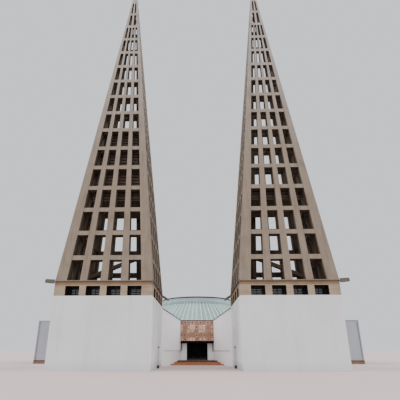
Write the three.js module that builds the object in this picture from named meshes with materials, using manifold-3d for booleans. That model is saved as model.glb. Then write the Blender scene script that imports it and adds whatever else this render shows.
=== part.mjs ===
// A modern church: two tall lattice spires on white blocks, a recessed portal between
// them, and a low hall with a conical copper roof. It is a model at half size: every length
// below is the real building's, in metres, turned into millimetres of the model by `metre`.
// The origin is on the ground in the middle of the building's box, and the front faces -Y.
import * as THREE from "three";
import { mergeGeometries, mergeVertices } from "three/addons/utils/BufferGeometryUtils.js";
import Module from "manifold-3d";

const wasm = await Module();
wasm.setup();

// Scale, small clearances, and how far two bodies that are joined reach into each other
const metre = 500;
const seam = 0.3;
const doorClearance = 6;
const lap = 1;

// Towers: white blocks a little deeper than wide, a band of low windows, a deck and a lattice
// spire. `shell` is the thickness of the inner and outer sides.
const towerWidth = 9.5 * metre;
const towerDepth = 10.7 * metre;
const towerGap = 8.3 * metre;
const shell = 0.95 * metre;
const blockTop = 6.6 * metre;
const windowHeight = 0.93 * metre;
const windowWidth = 1.35 * metre;
const windowPier = 0.65 * metre;
const glassThickness = 0.08 * metre;
const glassLap = 0.1 * metre;
const bandTop = 7.9 * metre;
const deckTop = 8.0 * metre;
const deckOverhang = 0.08 * metre;
const deckDepth = 0.25 * metre;
const apexHeight = 54.6 * metre;

// Lattice: four openings a row on each side, two a row near the top, and half the hollow's
// width at the bottom of the tip
const rowPitch = 2.68 * metre;
const beamHeight = 0.48 * metre;
const firstBeam = 7.7 * metre;
const sillHeight = 0.08 * metre;
const openingWidth = 1.28 * metre;
const mullionWidth = 0.72 * metre;
const wideRows = 14;
const narrowRows = 2;
const narrowOpening = 2.1 * metre;
const narrowMullion = 1.5 * metre;
const innerTip = 0.08 * metre;

// Spouts at the corners of each deck: level at the outer front, falling at the back, and a stub
// at the inner front. The root rises above the deck by `rise`, and the mouth is lower by `fall`.
const spoutWidth = 0.26 * metre;
const spoutInset = 0.02 * metre;
const spoutBottom = 7.75 * metre;
const spoutTop = 8.08 * metre;
const levelSpout = { length: 0.85 * metre, rise: 0.06 * metre, fall: 0 };
const fallingSpout = { length: 0.85 * metre, rise: 0.3 * metre, fall: 0.32 * metre };
const shortSpout = { length: 0.12 * metre, rise: 0, fall: 0 };

// Hall behind the towers, on a low podium
const hallFront = 20 * metre;
const hallBack = 38.5 * metre;
const hallWidth = 46.1 * metre;
const hallWall = 0.4 * metre;
const podiumTop = 0.47 * metre;
const hallTop = 5.72 * metre;
const slabThickness = 0.32 * metre;

// Portal between the towers: the width with the walls of its niche, and the width between them
const portalWidth = 5.7 * metre;
const nicheWidth = 4.74 * metre;
const nicheBack = 21.4 * metre;
const jambFront = 21.0 * metre;
const doorWidth = 2.96 * metre;
const doorTop = 2.72 * metre;
const plinthTop = 1.48 * metre;
const plinthFront = 20.35 * metre;
const lintelFront = 20.3 * metre;
const reliefFront = 20.05 * metre;
const reliefBottom = 3.0 * metre;

// Door leaves, hinged at the jambs and opening inwards
const leafThickness = 0.09 * metre;
const leafInset = 0.02 * metre;
const hingeInset = 6;
const hingeRadius = 5;
const pullHeight = 1.1 * metre;
const pullSize = 0.05 * metre;
const pullStandoff = 0.04 * metre;
const pullOffset = 0.2 * metre;

// Steps and diagonal walls between the towers and the portal
const stepFronts = [14.7 * metre, 16.4 * metre, 18.0 * metre];
const diagonalWall = 0.4 * metre;
const diagonalHigh = 6.44 * metre;

// Conical roof over the middle of the hall
const coneCentre = 29.1 * metre;
const coneEave = 8.7 * metre;
const coneRim = 5.6 * metre;
const coneTop = 8.7 * metre;
const coneShell = 0.3 * metre;
const roofHole = 7.4 * metre;
const crownRadius = 5.75 * metre;
const crownWall = 0.3 * metre;
const crownTop = 9.6 * metre;
const capBottom = 9.1 * metre;
const capEdge = 9.3 * metre;
const capTop = 10.0 * metre;
const roundSides = 48;

// Slim posts beside the inner walls of the tower blocks
const postY = 6.0 * metre;
const postHeight = 2.15 * metre;
const postRadius = 0.06 * metre;
const postFoot = 0.13 * metre;
const postFootHeight = 0.3 * metre;
const knobRadius = 0.11 * metre;
const knobSteps = 4;
const postSides = 12;

// Places that follow from the sizes above. The front and back sides of a tower are thicker than
// its other two by the same share as the tower is deeper than wide.
const halfWidth = towerWidth / 2;
const halfDepth = towerDepth / 2;
const depthShare = towerDepth / towerWidth;
const frontShell = shell * depthShare;
const towerCentreX = towerGap / 2 + halfWidth;
const spoutRoot = deckOverhang - spoutInset;
const spoutRun = (levelSpout.length + spoutWidth / 2) / Math.SQRT2;
const spoutReach = Math.round(spoutRoot + spoutRun);
const frontY = -Math.round((hallBack - spoutReach) / 2);
const spireHeight = apexHeight - deckTop;
const tipBottom = firstBeam + (wideRows + narrowRows) * rowPitch + beamHeight / 2;

const finishes = {
  plaster: { color: 0xd4d4d6, roughness: 0.85, metalness: 0 },
  concrete: { color: 0xa89a88, roughness: 0.9, metalness: 0 },
  copperGreen: { color: 0x9fbdb4, roughness: 0.6, metalness: 0.3 },
  copperBrown: { color: 0xa9806c, roughness: 0.5, metalness: 0.6 },
  terracotta: { color: 0x94603f, roughness: 0.85, metalness: 0 },
  darkGlass: { color: 0x30343a, roughness: 0.15, metalness: 0 },
  darkMetal: { color: 0x2b2d30, roughness: 0.5, metalness: 0.6 },
};

const church = new THREE.Group();
church.position.y = frontY;

function addPiece(name, finish, geometry) {
  const mesh = new THREE.Mesh(geometry, new THREE.MeshStandardMaterial(finishes[finish]));
  mesh.name = name;
  church.add(mesh);
  return mesh;
}

// A box given by its low and high corners
function block(low, high) {
  const size = high.map((value, i) => value - low[i]);
  const centre = high.map((value, i) => (value + low[i]) / 2);
  return new THREE.BoxGeometry(...size).translate(...centre);
}

// A block on the left (side -1) or right (side 1) whose X values are distances from the axis
function sideBlock(side, near, far, yLow, yHigh, zLow, zHigh) {
  const xs = [side * near, side * far].sort((a, b) => a - b);
  return block([xs[0], yLow, zLow], [xs[1], yHigh, zHigh]);
}

function shapeOf(points) {
  return new THREE.Shape(points.map(([x, y]) => new THREE.Vector2(x, y)));
}

// An upright prism over an outline in plan
function prism(points, zLow, zHigh) {
  const geometry = new THREE.ExtrudeGeometry(shapeOf(points), { depth: zHigh - zLow, bevelEnabled: false });
  return geometry.translate(0, 0, zLow);
}

// Moves every vertex of a geometry by a rule
function reshape(geometry, rule) {
  const position = geometry.attributes.position;
  for (let i = 0; i < position.count; i++) {
    position.setXYZ(i, ...rule(position.getX(i), position.getY(i), position.getZ(i)));
  }
  return geometry;
}

function toSolid(geometry) {
  const bare = geometry.clone();
  bare.deleteAttribute("normal");
  bare.deleteAttribute("uv");
  const merged = mergeVertices(bare, 1e-3);
  return new wasm.Manifold(
    new wasm.Mesh({
      numProp: 3,
      vertProperties: new Float32Array(merged.attributes.position.array),
      triVerts: new Uint32Array(merged.index.array),
    }),
  );
}

function toGeometry(solid) {
  const mesh = solid.getMesh();
  const geometry = new THREE.BufferGeometry();
  geometry.setAttribute("position", new THREE.BufferAttribute(new Float32Array(mesh.vertProperties), 3));
  geometry.setIndex(new THREE.BufferAttribute(new Uint32Array(mesh.triVerts), 1));
  return geometry;
}

function joined(first, ...others) {
  return toGeometry(others.reduce((solid, next) => solid.add(toSolid(next)), toSolid(first)));
}

function cutBy(body, ...cutters) {
  return toGeometry(cutters.reduce((solid, next) => solid.subtract(toSolid(next)), toSolid(body)));
}

// Left and right edges of a centred row of equal openings
function columnEdges(count, opening, mullion) {
  const pitch = opening + mullion;
  const first = -(count * opening + (count - 1) * mullion) / 2;
  return Array.from({ length: count }, (_, i) => [first + i * pitch, first + i * pitch + opening]);
}

// Four walls of a tower's block, the front and back ones over its full width
function addBlockWalls(side, label) {
  const near = towerGap / 2;
  const far = near + towerWidth;
  const back = towerDepth - frontShell;
  addPiece(`tower_front_wall_${label}`, "plaster", sideBlock(side, near, far, 0, frontShell, 0, blockTop));
  addPiece(
    `tower_back_wall_${label}`,
    "plaster",
    sideBlock(side, near, far, back, towerDepth, 0, blockTop),
  );
  addPiece(
    `tower_inner_wall_${label}`,
    "plaster",
    sideBlock(side, near, near + shell, frontShell, back, 0, blockTop),
  );
  addPiece(
    `tower_outer_wall_${label}`,
    "plaster",
    sideBlock(side, far - shell, far, frontShell, back, 0, blockTop),
  );
}

// The concrete ring on the block, with four low windows in each side
function windowBand() {
  const across = halfWidth - shell;
  const deep = halfDepth - frontShell;
  const reach = halfDepth + shell;
  const low = blockTop - shell;
  const windowTop = blockTop + windowHeight;
  const cutters = [block([-across, -deep, low], [across, deep, bandTop + shell])];
  for (const [left, right] of columnEdges(4, windowWidth, windowPier)) {
    cutters.push(block([left, -reach, low], [right, reach, windowTop]));
    cutters.push(block([-reach, left * depthShare, low], [reach, right * depthShare, windowTop]));
  }
  const ring = block([-halfWidth, -halfDepth, blockTop], [halfWidth, halfDepth, bandTop]);
  return cutBy(ring, ...cutters);
}

// One ring of glass that closes the low windows from inside
function windowGlass() {
  const across = halfWidth - shell;
  const deep = halfDepth - frontShell;
  const low = blockTop - glassLap;
  const high = blockTop + windowHeight + glassLap;
  const hollow = block(
    [glassThickness - across, glassThickness - deep, low - glassLap],
    [across - glassThickness, deep - glassThickness, high + glassLap],
  );
  return cutBy(block([-across, -deep, low], [across, deep, high]), hollow);
}

// A spout from a deck's corner outwards, made along +X and then turned and moved to its corner
function spoutAt(corner, { length, rise, fall }) {
  const body = block([0, -spoutWidth / 2, spoutBottom], [length, spoutWidth / 2, spoutTop]);
  reshape(body, (x, y, z) => {
    const share = x / length;
    return [x, y, z - fall * share + (z > deckTop ? rise * (1 - share) : 0)];
  });
  const angle = Math.PI / 4 + (corner * Math.PI) / 2;
  const x = Math.sign(Math.cos(angle)) * (halfWidth + spoutRoot);
  const y = Math.sign(Math.sin(angle)) * (halfDepth + spoutRoot);
  return body.rotateZ(angle).translate(x, y, 0);
}

// The deck that closes the block, with a cornice edge and a spout at each corner
function deckWithSpouts(side) {
  const edge = [halfWidth + deckOverhang, halfDepth + deckOverhang];
  const inside = [halfWidth - shell - seam, halfDepth - frontShell - seam];
  const plate = block([-edge[0], -edge[1], bandTop], [...edge, deckTop]);
  const core = block([-inside[0], -inside[1], bandTop - deckDepth], [...inside, deckTop]);
  const front = side < 0 ? [levelSpout, shortSpout] : [shortSpout, levelSpout];
  const spouts = [fallingSpout, fallingSpout, ...front].map((spout, corner) => spoutAt(corner, spout));
  return joined(plate, core, ...spouts);
}

// Share of the base width that is left at a height above the deck
function taper(height) {
  return 1 - height / spireHeight;
}

// Openings of one side of the spire as outlines of width against height
function latticeOpenings() {
  const openings = [];
  for (let row = 0; row < wideRows + narrowRows; row++) {
    const beam = firstBeam + row * rowPitch - deckTop;
    const low = Math.max(beam + beamHeight / 2, sillHeight);
    const high = beam + rowPitch - beamHeight / 2;
    const columns =
      row < wideRows
        ? columnEdges(4, openingWidth, mullionWidth)
        : columnEdges(2, narrowOpening, narrowMullion);
    for (const [left, right] of columns) {
      openings.push([
        [left * taper(low), low],
        [right * taper(low), low],
        [right * taper(high), high],
        [left * taper(high), high],
      ]);
    }
  }
  return openings;
}

// One leaning side of a spire as wide as deep: a mitred slab that thins towards the apex, cut by
// its openings
function latticeSide() {
  const top = tipBottom - deckTop;
  const corners = shapeOf([
    [-1, 0],
    [1, 0],
    [1, top],
    [-1, top],
  ]);
  const slab = new THREE.ExtrudeGeometry(corners, { depth: 1, bevelEnabled: false });
  reshape(slab, (across, up, out) => {
    const outside = halfWidth * taper(up);
    const inside = up > 0 ? innerTip : halfWidth - shell;
    const half = out > 0.5 ? outside : inside;
    return [across * (half - seam), -half, deckTop + up];
  });
  const holes = latticeOpenings().map((outline) => {
    const hole = new THREE.ExtrudeGeometry(shapeOf(outline), { depth: towerWidth, bevelEnabled: false });
    return hole.rotateX(Math.PI / 2).translate(0, 0, deckTop);
  });
  return cutBy(slab, mergeGeometries(holes));
}

// The solid point of the same spire
function spireTip() {
  const half = halfWidth * taper(tipBottom - deckTop);
  const height = apexHeight - tipBottom;
  const cone = new THREE.ConeGeometry(half * Math.SQRT2, height, 4);
  cone.rotateX(Math.PI / 2);
  cone.rotateZ(Math.PI / 4);
  return cone.translate(0, 0, tipBottom + height / 2);
}

// A tower, its spire drawn out to the tower's depth
function addTower(side, label) {
  addBlockWalls(side, label);
  const place = [side * towerCentreX, halfDepth, 0];
  addPiece(`tower_window_band_${label}`, "concrete", windowBand()).position.set(...place);
  addPiece(`tower_window_glass_${label}`, "darkGlass", windowGlass()).position.set(...place);
  addPiece(`tower_deck_${label}`, "concrete", deckWithSpouts(side)).position.set(...place);
  const turns = { front: 0, back: 2, inner: side < 0 ? 1 : 3, outer: side < 0 ? 3 : 1 };
  for (const [face, turn] of Object.entries(turns)) {
    const panel = latticeSide().rotateZ((turn * Math.PI) / 2).scale(1, depthShare, 1);
    addPiece(`spire_${face}_${label}`, "concrete", panel).position.set(...place);
  }
  addPiece(`spire_tip_${label}`, "concrete", spireTip().scale(1, depthShare, 1)).position.set(...place);
}

// Distance from the axis to the face of the diagonal walls at a depth behind the front
function diagonalFace(y) {
  const share = (y - towerDepth) / (hallFront - towerDepth);
  return (towerGap / 2) * (1 - share) + (nicheWidth / 2) * share;
}

// A wall from the tower's back corner to the relief's edge, its top falling towards the portal
function addDiagonalWall(side, label) {
  const points = [
    [diagonalFace(towerDepth), towerDepth],
    [diagonalFace(towerDepth) + diagonalWall, towerDepth],
    [diagonalFace(hallFront) + diagonalWall, hallFront],
    [diagonalFace(hallFront), hallFront],
  ].map(([x, y]) => [side * x, y]);
  const wall = prism(side > 0 ? points : points.reverse(), 0, 1);
  const fall = (diagonalHigh - hallTop) / (hallFront - towerDepth);
  reshape(wall, (x, y, z) => [x, y, z > 0.5 ? diagonalHigh - fall * (y - towerDepth) : 0]);
  addPiece(`diagonal_wall_${label}`, "plaster", wall);
}

// Three wide steps between the diagonal walls, up to the podium
function addSteps() {
  const rise = podiumTop / stepFronts.length;
  const profile = [[hallFront, 0]];
  profile.push([stepFronts[0], 0]);
  stepFronts.forEach((front, i) => {
    if (i > 0) profile.push([front, rise * i]);
    profile.push([front, rise * (i + 1)]);
  });
  profile.push([hallFront, podiumTop]);
  const steps = new THREE.ExtrudeGeometry(shapeOf(profile), { depth: 1, bevelEnabled: false });
  reshape(steps, (y, z, across) => [(across > 0.5 ? 1 : -1) * (diagonalFace(y) - seam), y, z]);
  addPiece("entrance_steps", "terracotta", steps);
}

// A front wall of the hall with its return into the portal's niche, and a side wall
function addHallWalls(side, label) {
  const half = hallWidth / 2;
  const points = [
    [nicheWidth / 2, hallFront],
    [half, hallFront],
    [half, hallFront + hallWall],
    [portalWidth / 2, hallFront + hallWall],
    [portalWidth / 2, nicheBack],
    [nicheWidth / 2, nicheBack],
  ].map(([x, y]) => [side * x, y]);
  const frontWall = prism(side > 0 ? points : points.reverse(), podiumTop, hallTop);
  addPiece(`hall_front_wall_${label}`, "plaster", frontWall);
  addPiece(
    `hall_side_wall_${label}`,
    "plaster",
    sideBlock(side, half - hallWall, half, hallFront + hallWall, hallBack - hallWall, podiumTop, hallTop),
  );
}

function addHall() {
  const half = hallWidth / 2;
  addPiece("podium", "terracotta", block([-half, hallFront, 0], [half, hallBack, podiumTop]));
  addPiece(
    "hall_back_wall",
    "plaster",
    block([-half, hallBack - hallWall, podiumTop], [half, hallBack, hallTop]),
  );
  const inner = half - hallWall;
  const notch = portalWidth / 2;
  const outline = shapeOf([
    [-inner, hallFront + hallWall],
    [-notch, hallFront + hallWall],
    [-notch, nicheBack],
    [notch, nicheBack],
    [notch, hallFront + hallWall],
    [inner, hallFront + hallWall],
    [inner, hallBack - hallWall],
    [-inner, hallBack - hallWall],
  ]);
  outline.holes = [new THREE.Path().absarc(0, coneCentre, roofHole, 0, 2 * Math.PI, true)];
  const slab = new THREE.ExtrudeGeometry(outline, {
    depth: slabThickness,
    bevelEnabled: false,
    curveSegments: roundSides,
  });
  addPiece("hall_roof", "plaster", slab.translate(0, 0, hallTop - slabThickness));
}

// A round piece about the cone's axis, from a closed profile of radius against height
function turned(profile) {
  const points = profile.map(([radius, height]) => new THREE.Vector2(radius, height));
  return new THREE.LatheGeometry(points, roundSides).rotateX(Math.PI / 2).translate(0, coneCentre, 0);
}

function addConicalRoof() {
  const cone = turned([
    [coneEave - coneShell, hallTop],
    [coneEave, hallTop],
    [coneRim, coneTop],
    [coneRim - coneShell, coneTop],
    [coneEave - coneShell, hallTop],
  ]);
  addPiece("roof_cone", "copperGreen", cone);
  const crownInside = crownRadius - crownWall;
  const ledgeInside = crownInside - crownWall;
  const crown = turned([
    [ledgeInside, coneTop],
    [crownRadius, coneTop],
    [crownRadius, crownTop],
    [crownInside, crownTop],
    [crownInside, capBottom],
    [ledgeInside, capBottom],
    [ledgeInside, coneTop],
  ]);
  addPiece("roof_crown", "copperGreen", crown);
  const cap = turned([
    [0, capBottom],
    [crownInside - seam, capBottom],
    [crownInside - seam, capEdge],
    [0, capTop],
  ]);
  addPiece("roof_cap", "copperGreen", cap);
}

// Door jambs with a low plinth before them, the lintel over the doors and the relief on it
function addPortal() {
  for (const [side, label] of [[-1, "left"], [1, "right"]]) {
    const near = doorWidth / 2;
    const far = nicheWidth / 2;
    addPiece(
      `door_jamb_${label}`,
      "plaster",
      joined(
        sideBlock(side, near, far, jambFront, nicheBack, podiumTop, doorTop),
        sideBlock(side, near, far, plinthFront, jambFront + hallWall / 2, podiumTop, plinthTop),
      ),
    );
  }
  const half = nicheWidth / 2;
  addPiece("portal_lintel", "plaster", block([-half, lintelFront, doorTop], [half, nicheBack, hallTop]));
  addPiece(
    "relief_panel",
    "copperBrown",
    block([-half, reliefFront, reliefBottom], [half, lintelFront, hallTop]),
  );
}

// A door leaf with its hinge post, which turns in the floor and the lintel, and a pull bar
function addDoorLeaf(side, label) {
  const hingeX = doorWidth / 2 - hingeInset;
  const back = nicheBack - leafInset;
  const front = back - leafThickness;
  const low = podiumTop + doorClearance;
  const high = doorTop - doorClearance;
  const leaf = sideBlock(side, doorClearance, hingeX - hingeRadius, front, back, low, high);
  const strap = sideBlock(side, hingeX - 2 * hingeRadius, hingeX, back - hingeRadius, back, low, high);
  const postLength = doorTop - podiumTop - 2 * seam;
  const post = new THREE.CylinderGeometry(hingeRadius, hingeRadius, postLength, postSides);
  post.rotateX(Math.PI / 2);
  post.translate(side * hingeX, back, (doorTop + podiumTop) / 2);
  const pullFar = pullOffset + pullSize;
  const pullLow = (low + high - pullHeight) / 2;
  const pullTop = pullLow + pullHeight;
  const barBack = front - pullStandoff;
  const bar = sideBlock(side, pullOffset, pullFar, barBack - pullSize, barBack, pullLow, pullTop);
  const brackets = [pullLow + pullSize, pullTop - 2 * pullSize].map((z) =>
    sideBlock(side, pullOffset, pullFar, barBack - lap, front + lap, z, z + pullSize),
  );
  addPiece(`door_leaf_${label}`, "darkMetal", joined(leaf, strap, post, bar, ...brackets));
}

// A slim post with a foot and a round knob, close to the tower's inner wall
function addPost(side, label) {
  const knobCentre = postHeight - knobRadius;
  const knob = new THREE.EllipseCurve(0, knobCentre, knobRadius, knobRadius, -Math.PI / 3, Math.PI / 2);
  const points = [
    new THREE.Vector2(0, 0),
    new THREE.Vector2(postFoot, 0),
    new THREE.Vector2(postFoot, postFootHeight),
    new THREE.Vector2(postRadius, postFootHeight),
    new THREE.Vector2(postRadius, knobCentre - knobRadius),
    ...knob.getPoints(knobSteps).slice(0, -1),
    new THREE.Vector2(0, postHeight),
  ];
  const post = new THREE.LatheGeometry(points, postSides).rotateX(Math.PI / 2);
  const x = towerGap / 2 - postFoot - seam;
  addPiece(`corner_post_${label}`, "darkMetal", post).position.set(side * x, postY, 0);
}

for (const [side, label] of [[-1, "left"], [1, "right"]]) {
  addTower(side, label);
  addDiagonalWall(side, label);
  addHallWalls(side, label);
  addDoorLeaf(side, label);
  addPost(side, label);
}
addSteps();
addHall();
addPortal();
addConicalRoof();

export default church;
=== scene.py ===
import math

import bmesh
import bpy
from mathutils import Matrix, Vector


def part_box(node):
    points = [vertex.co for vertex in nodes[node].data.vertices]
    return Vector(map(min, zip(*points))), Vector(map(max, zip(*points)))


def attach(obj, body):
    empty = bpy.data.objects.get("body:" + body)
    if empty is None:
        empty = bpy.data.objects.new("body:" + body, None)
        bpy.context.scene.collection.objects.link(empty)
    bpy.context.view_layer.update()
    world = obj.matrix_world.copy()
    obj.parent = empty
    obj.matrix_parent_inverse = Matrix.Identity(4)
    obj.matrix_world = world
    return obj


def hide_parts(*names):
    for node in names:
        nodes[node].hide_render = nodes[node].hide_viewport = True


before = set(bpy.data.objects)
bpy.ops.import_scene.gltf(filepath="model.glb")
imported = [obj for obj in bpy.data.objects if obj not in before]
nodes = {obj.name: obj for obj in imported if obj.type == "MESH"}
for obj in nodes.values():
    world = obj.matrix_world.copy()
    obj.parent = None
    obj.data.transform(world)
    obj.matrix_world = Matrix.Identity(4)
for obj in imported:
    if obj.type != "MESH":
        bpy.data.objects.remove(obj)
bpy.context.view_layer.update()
metre = 0.5  # one real metre in this half-size model
sides = (("left", -1), ("right", 1))


def towerPlan(label):
    # middle of a tower, half its width, and its depth as a share of its width
    low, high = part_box(f"tower_window_band_{label}")
    return (low + high) / 2, (high.x - low.x) / 2, (high.y - low.y) / (high.x - low.x)


def towerPlace(label):
    # takes what is made for a tower as wide as deep to the tower's place and depth
    centre, _, depthShare = towerPlan(label)
    return Matrix.Translation((centre.x, centre.y, 0)) @ Matrix.Diagonal((1, depthShare, 1, 1))


# Shader helpers

def tone(colour):
    # a colour as the eye reads it, 0 to 255, turned into the renderer's own numbers
    if isinstance(colour, Wire):
        return colour
    parts = [value / 255 for value in colour]
    return (*[p / 12.92 if p <= 0.04045 else ((p + 0.055) / 1.055) ** 2.4 for p in parts], 1.0)


def asMaths(kind, swapped=False):
    # one of Python's operators as a Math node
    def apply(wire, *others):
        return wire.paint.maths(kind, *((*others, wire) if swapped else (wire, *others)))
    return apply


class Wire:
    # a number or colour that runs through a material, and takes Python's operators
    __add__ = asMaths("ADD")
    __radd__ = asMaths("ADD", True)
    __sub__ = asMaths("SUBTRACT")
    __rsub__ = asMaths("SUBTRACT", True)
    __mul__ = asMaths("MULTIPLY")
    __rmul__ = asMaths("MULTIPLY", True)
    __truediv__ = asMaths("DIVIDE")
    __abs__ = asMaths("ABSOLUTE")
    larger = asMaths("MAXIMUM")
    smaller = asMaths("MINIMUM")
    part = asMaths("FRACT")
    whole = asMaths("FLOOR")

    def __init__(self, paint, socket):
        self.paint = paint
        self.socket = socket

    def rise(self, low, high):
        # 0 below low, 1 above high, smooth between
        values = {"Value": self, "From Min": low, "From Max": high}
        return self.paint.add("ShaderNodeMapRange", values, 0, {"interpolation_type": "SMOOTHSTEP"})


class Paint:
    # one material, built up from nodes
    def __init__(self, name, roughness=0.8, metallic=0.0, specular=0.3):
        self.material = bpy.data.materials.new(name)
        self.material.use_nodes = True
        self.tree = self.material.node_tree
        self.shader = self.tree.nodes["Principled BSDF"]
        self.shader.inputs["Roughness"].default_value = roughness
        self.shader.inputs["Metallic"].default_value = metallic
        self.shader.inputs["Specular IOR Level"].default_value = specular
        self.spot = self.add("ShaderNodeTexCoord", output="Object")
        self.x, self.y, self.z = self.split(self.spot)

    def add(self, kind, values=None, output=0, settings=None):
        node = self.tree.nodes.new(kind)
        for key, value in (settings or {}).items():
            setattr(node, key, value)
        for key, value in (values or {}).items():
            self.join(value, node.inputs[key])
        return Wire(self, node.outputs[output])

    def join(self, value, socket):
        if isinstance(value, Wire):
            self.tree.links.new(value.socket, socket)
        else:
            socket.default_value = value

    def split(self, vector):
        parts = self.add("ShaderNodeSeparateXYZ", {"Vector": vector})
        return [Wire(self, socket) for socket in parts.socket.node.outputs]

    def maths(self, operation, *values):
        return self.add("ShaderNodeMath", dict(enumerate(values)), 0, {"operation": operation})

    def mix(self, factor, low, high):
        colours = {0: factor, 6: tone(low), 7: tone(high)}
        return self.add("ShaderNodeMix", colours, 2, {"data_type": "RGBA"})

    def noise(self, scale, detail=3.0, stretch=(1, 1, 1)):
        spot = self.add("ShaderNodeMapping", {"Vector": self.spot, "Scale": stretch})
        return self.add("ShaderNodeTexNoise", {"Vector": spot, "Scale": scale, "Detail": detail})

    def chance(self, *values):
        # an even random number for each set of whole numbers
        cell = self.add("ShaderNodeCombineXYZ", dict(enumerate(values)))
        return self.add("ShaderNodeTexWhiteNoise", {"Vector": cell})

    def facing(self):
        # the surface's own direction along X, Y and Z
        return self.split(self.add("ShaderNodeTexCoord", output="Normal"))

    def along(self):
        # a level coordinate along an upright face, X on front and back faces and Y on side faces
        across, deep, _ = self.facing()
        side = (abs(across) - abs(deep)).rise(-0.1, 0.1)
        return self.x * (1 - side) + self.y * side

    def finish(self, colour, bump=None, distance=0.002, roughness=None):
        self.join(colour, self.shader.inputs["Base Color"])
        if roughness is not None:
            self.join(roughness, self.shader.inputs["Roughness"])
        if bump is not None:
            normal = self.add("ShaderNodeBump", {"Height": bump, "Distance": distance})
            self.join(normal, self.shader.inputs["Normal"])
        return self.material


# Materials

def plaster(name, clean, dusty, side=None):
    # smooth painted plaster: cloudy, a little streaked, dusty at the foot, with painted light on faces turned
    # along X, which take the lighter side tone
    paint = Paint(name, roughness=0.75)
    # painted light: faces turned along X are lightened towards the side tone
    if side:
        clean = paint.mix(abs(paint.facing()[0]).rise(0.5, 0.9), clean, side)
    cloud = paint.noise(0.5, 4)
    streak = paint.noise(3.0, 3, (1, 1, 0.06))
    grain = paint.noise(60, 4)
    wear = (cloud.rise(0.35, 0.75) * 0.5 + streak.rise(0.5, 0.8) * 0.35).smaller(1.0)
    foot = 1 - (paint.z + cloud * 0.2).rise(0.1, 0.55)
    colour = paint.mix((wear + foot * 0.5).smaller(1.0), clean, dusty)
    return paint.finish(colour, grain * 0.4 + cloud * 2.0, 0.0015, 0.7 + grain * 0.15)


concreteLook = {
    "board": 0.14 * metre,  # width of the boards that it was cast in
    "lift": 4.2 * metre,  # height of one pour
    "greyFrom": 9,  # where the warm tone starts to turn grey
    "greyTo": 28,
    "shadeFadeDepth": 0.22,  # how far into an opening the painted shade takes to reach full dark
    "shadedAtOnceDepth": 0.02,  # the same on undersides and on the faces turned towards +X, where the painted shade comes almost at once
}


def openingShade(paint, clean):
    # painted shade: 0 on the spire's outer faces, up to 1 on its inner faces and deep in its openings
    look = concreteLook
    centre, halfBase, depthShare = towerPlan("right")
    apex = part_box("spire_tip_right")[1].z
    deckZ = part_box("spire_front_right")[0].z
    across = abs(abs(paint.x) - centre.x)
    deep = abs(paint.y - centre.y) * (1 / depthShare)
    half = (1 - (paint.z - deckZ).larger(0) / (apex - deckZ)) * halfBase
    depth = half - across.larger(deep)
    normalX, normalY, normalZ = paint.facing()
    onSide = (across - deep).rise(-0.01, 0.01)
    outward = abs(normalX) * onSide + abs(normalY) * (1 - onSide)
    reveal = 1 - outward.rise(0.5, 0.9)
    # faces turned towards +X, undersides and the side lattices' reveals take the painted shade almost at once
    shadedAtOnce = normalX.rise(0.3, 0.7).larger((normalZ * -1).rise(0.3, 0.7))
    shadedAtOnce = shadedAtOnce.larger(abs(normalY).rise(0.3, 0.7) * onSide)
    streak = paint.noise(9.0, 2, (1, 1, 0.1)).rise(0.35, 0.65)
    # the depth over which the painted shade fades in, varied in streaks
    clean = clean * (0.5 + streak)
    reach = clean - shadedAtOnce * (clean - look["shadedAtOnceDepth"])
    return (reveal * (depth / reach).rise(0, 1)).larger((depth / half).rise(0.07, 0.15))


def concrete(name, warm, grey, inside, hollow=True):
    # board-marked concrete: paler and greyer high up, with painted shade that makes it dark and brown on the
    # inner faces and in the openings
    look = concreteLook
    paint = Paint(name, roughness=0.88, specular=0.2)
    board = paint.along() / look["board"]
    joint = 1 - abs(board.part() - 0.5).rise(0.40, 0.5)
    shade = paint.chance(board.whole(), (paint.z / look["lift"]).whole(), 0)
    grain = paint.noise(45, 5, (1, 1, 0.35))
    blotch = paint.noise(1.6, 5)
    streak = paint.noise(5.0, 3, (1, 1, 0.08)).rise(0.45, 0.75)
    high = (paint.z + blotch * 3).rise(look["greyFrom"], look["greyTo"])
    colour = paint.mix(high, warm, grey)
    dark = blotch.rise(0.4, 0.8) * 0.18 + streak * 0.18 + shade * 0.12 + (1 - joint) * 0.12
    colour = paint.mix(dark.smaller(1), colour, inside)
    if hollow:
        # painted shade in the inside tone on the inner faces and in the openings, varied board by board
        boardTone = 0.55 + shade * 0.45
        colour = paint.mix(openingShade(paint, look["shadeFadeDepth"]) * boardTone, colour, inside)
    relief = joint * 0.6 + grain * 0.5 + blotch * 1.5
    return paint.finish(colour, relief, 0.003, 0.8 + grain * 0.15)


def bandConcrete(name, top, pier, inside, shaded):
    # the window band: a browner beam above the windows than between them, with painted shade in the window
    # reveals
    paint = Paint(name, roughness=0.88, specular=0.2)
    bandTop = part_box("tower_window_band_right")[1].z
    beam = (paint.z - bandTop + bandShape["beamHeight"]).rise(-0.02, 0.01)
    grain = paint.noise(45, 5)
    blotch = paint.noise(2.2, 5)
    level = paint.noise(4.0, 3, (0.25, 0.25, 3))
    wear = (blotch.rise(0.35, 0.75) * 0.25 + level.rise(0.4, 0.7) * 0.2 + grain * 0.15).smaller(1)
    colour = paint.mix(wear, paint.mix(beam, pier, top), inside)
    colour = paint.mix(openingShade(paint, bandShape["shadeFadeDepth"]), colour, shaded)
    return paint.finish(colour, grain * 0.5 + blotch * 1.5, 0.003, 0.8 + grain * 0.15)


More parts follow.
